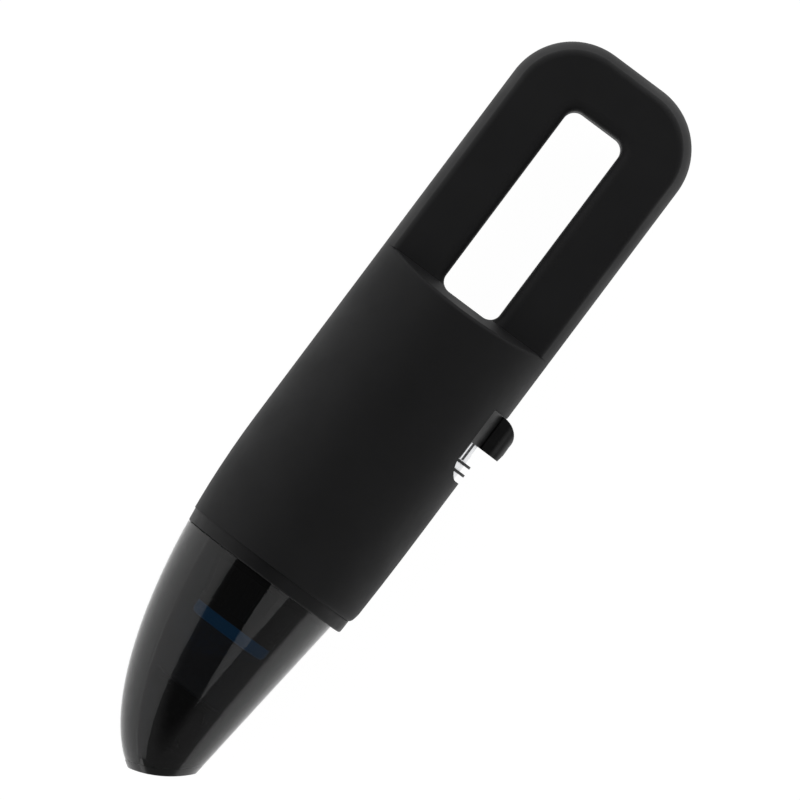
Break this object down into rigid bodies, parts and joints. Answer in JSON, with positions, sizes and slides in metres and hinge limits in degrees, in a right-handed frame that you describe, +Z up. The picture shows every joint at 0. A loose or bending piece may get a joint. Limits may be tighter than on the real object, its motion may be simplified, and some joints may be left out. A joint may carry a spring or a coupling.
{
  "type": "cordless vacuum cleaner",
  "caption": "Slim handheld vacuum with a loop handle, elliptical barrel, smoky tapering dust cup with a slanted mouth, and a thumb slider on one edge.",
  "frame": {"origin": "on the rest flat, straight below the motor axis", "axes": "+Y from the nozzle to the loop handle, +X to the edge with the power slider, +Z up out of the broad face"},
  "size_m": [0.0786, 0.305, 0.0625],
  "materials": {
    "soft_touch": "soft-touch rubberised paint on ABS",
    "collar": "satin moulded ABS",
    "smoke_cup": "clear gloss, smoke-tinted polycarbonate",
    "lip": "satin moulded",
    "duct": "satin moulded",
    "seal_rubber": "matt rubber",
    "flap_rubber": "matt silicone",
    "track_silver": "satin anodised",
    "slider_black": "fine-grained moulded",
    "steel": "zinc plated",
    "motor_steel": "drawn and plated",
    "bronze": "sintered, oiled",
    "copper": "enamelled wire",
    "ferrite": "ground ferrite",
    "carbon": "pressed carbon",
    "black_nylon": "moulded nylon",
    "fan_plastic": "moulded, balanced",
    "filter_black": "satin moulded",
    "filter_blue": "moulded",
    "filter_paper": "pleated filter sheet",
    "foam": "open-cell foam",
    "cell_wrap": "shrink-wrapped steel can",
    "nickel_wire": "insulated wire",
    "lead_wire": "insulated wire",
    "board_green": "solder mask on glass-epoxy",
    "chip_black": "moulded package"
  },
  "bodies": {
    "housing": {"front_shell": "soft_touch", "back_shell": "soft_touch", "shell_screws": "steel", "exhaust_foam": "foam", "collar_ring": "collar", "switch_track": "track_silver", "slide_switch": "black_nylon", "fan_shroud": "black_nylon", "diffuser": "black_nylon", "motor_screws": "steel", "motor_can": "motor_steel", "motor_end_cap": "black_nylon", "motor_brushes": "carbon", "motor_bearings": "bronze", "motor_magnets": "ferrite", "motor_mounts": "seal_rubber", "battery_cell_left": "cell_wrap", "battery_cell_right": "cell_wrap", "battery_link": "nickel_wire", "battery_leads": "nickel_wire", "motor_leads": "lead_wire", "control_board": "board_green", "board_parts": "chip_black", "board_screws": "steel", "charge_port": "steel"},
    "rotor": {"motor_shaft": "steel", "armature": "motor_steel", "armature_windings": "copper", "commutator": "copper", "impeller": "fan_plastic", "impeller_nut": "steel"},
    "power_switch": {"power_slider": "slider_black", "switch_lever": "black_nylon"},
    "dust_cup": {"dust_cup": "smoke_cup", "mouth_lip": "lip", "inlet_duct": "duct", "flap_pin": "steel", "cup_seal": "seal_rubber"},
    "inlet_flap": {"inlet_flap": "flap_rubber"},
    "filter": {"filter_frame": "filter_black", "filter_pleats": "filter_paper", "filter_cap": "filter_blue"}
  },
  "joints": [
    {"name": "rotor_spin", "type": "hinge", "parent": "housing", "child": "rotor", "pos_m": [0, 0, 0.0305], "axis": [0, 1, 0], "continuous": true},
    {"name": "power_slide", "type": "slide", "parent": "housing", "child": "power_switch", "axis": [0, -1, 0], "range_m": [0, 0.0065]},
    {"name": "cup_pull", "type": "slide", "parent": "housing", "child": "dust_cup", "axis": [0, -1, 0], "range_m": [0, 0.16]},
    {"name": "filter_pull", "type": "slide", "parent": "housing", "child": "filter", "axis": [0, -1, 0], "range_m": [0, 0.072]},
    {"name": "flap_swing", "type": "hinge", "parent": "dust_cup", "child": "inlet_flap", "pos_m": [-0.0095, -0.11115, 0.0305], "axis": [0, 0, 1], "range_deg": [0, 65], "stiffness_Nm_per_rad": 0.002}
  ],
  "couplings": [
    {"joint": "filter_pull", "follows": "cup_pull", "ratio": 0.44}
  ]
}
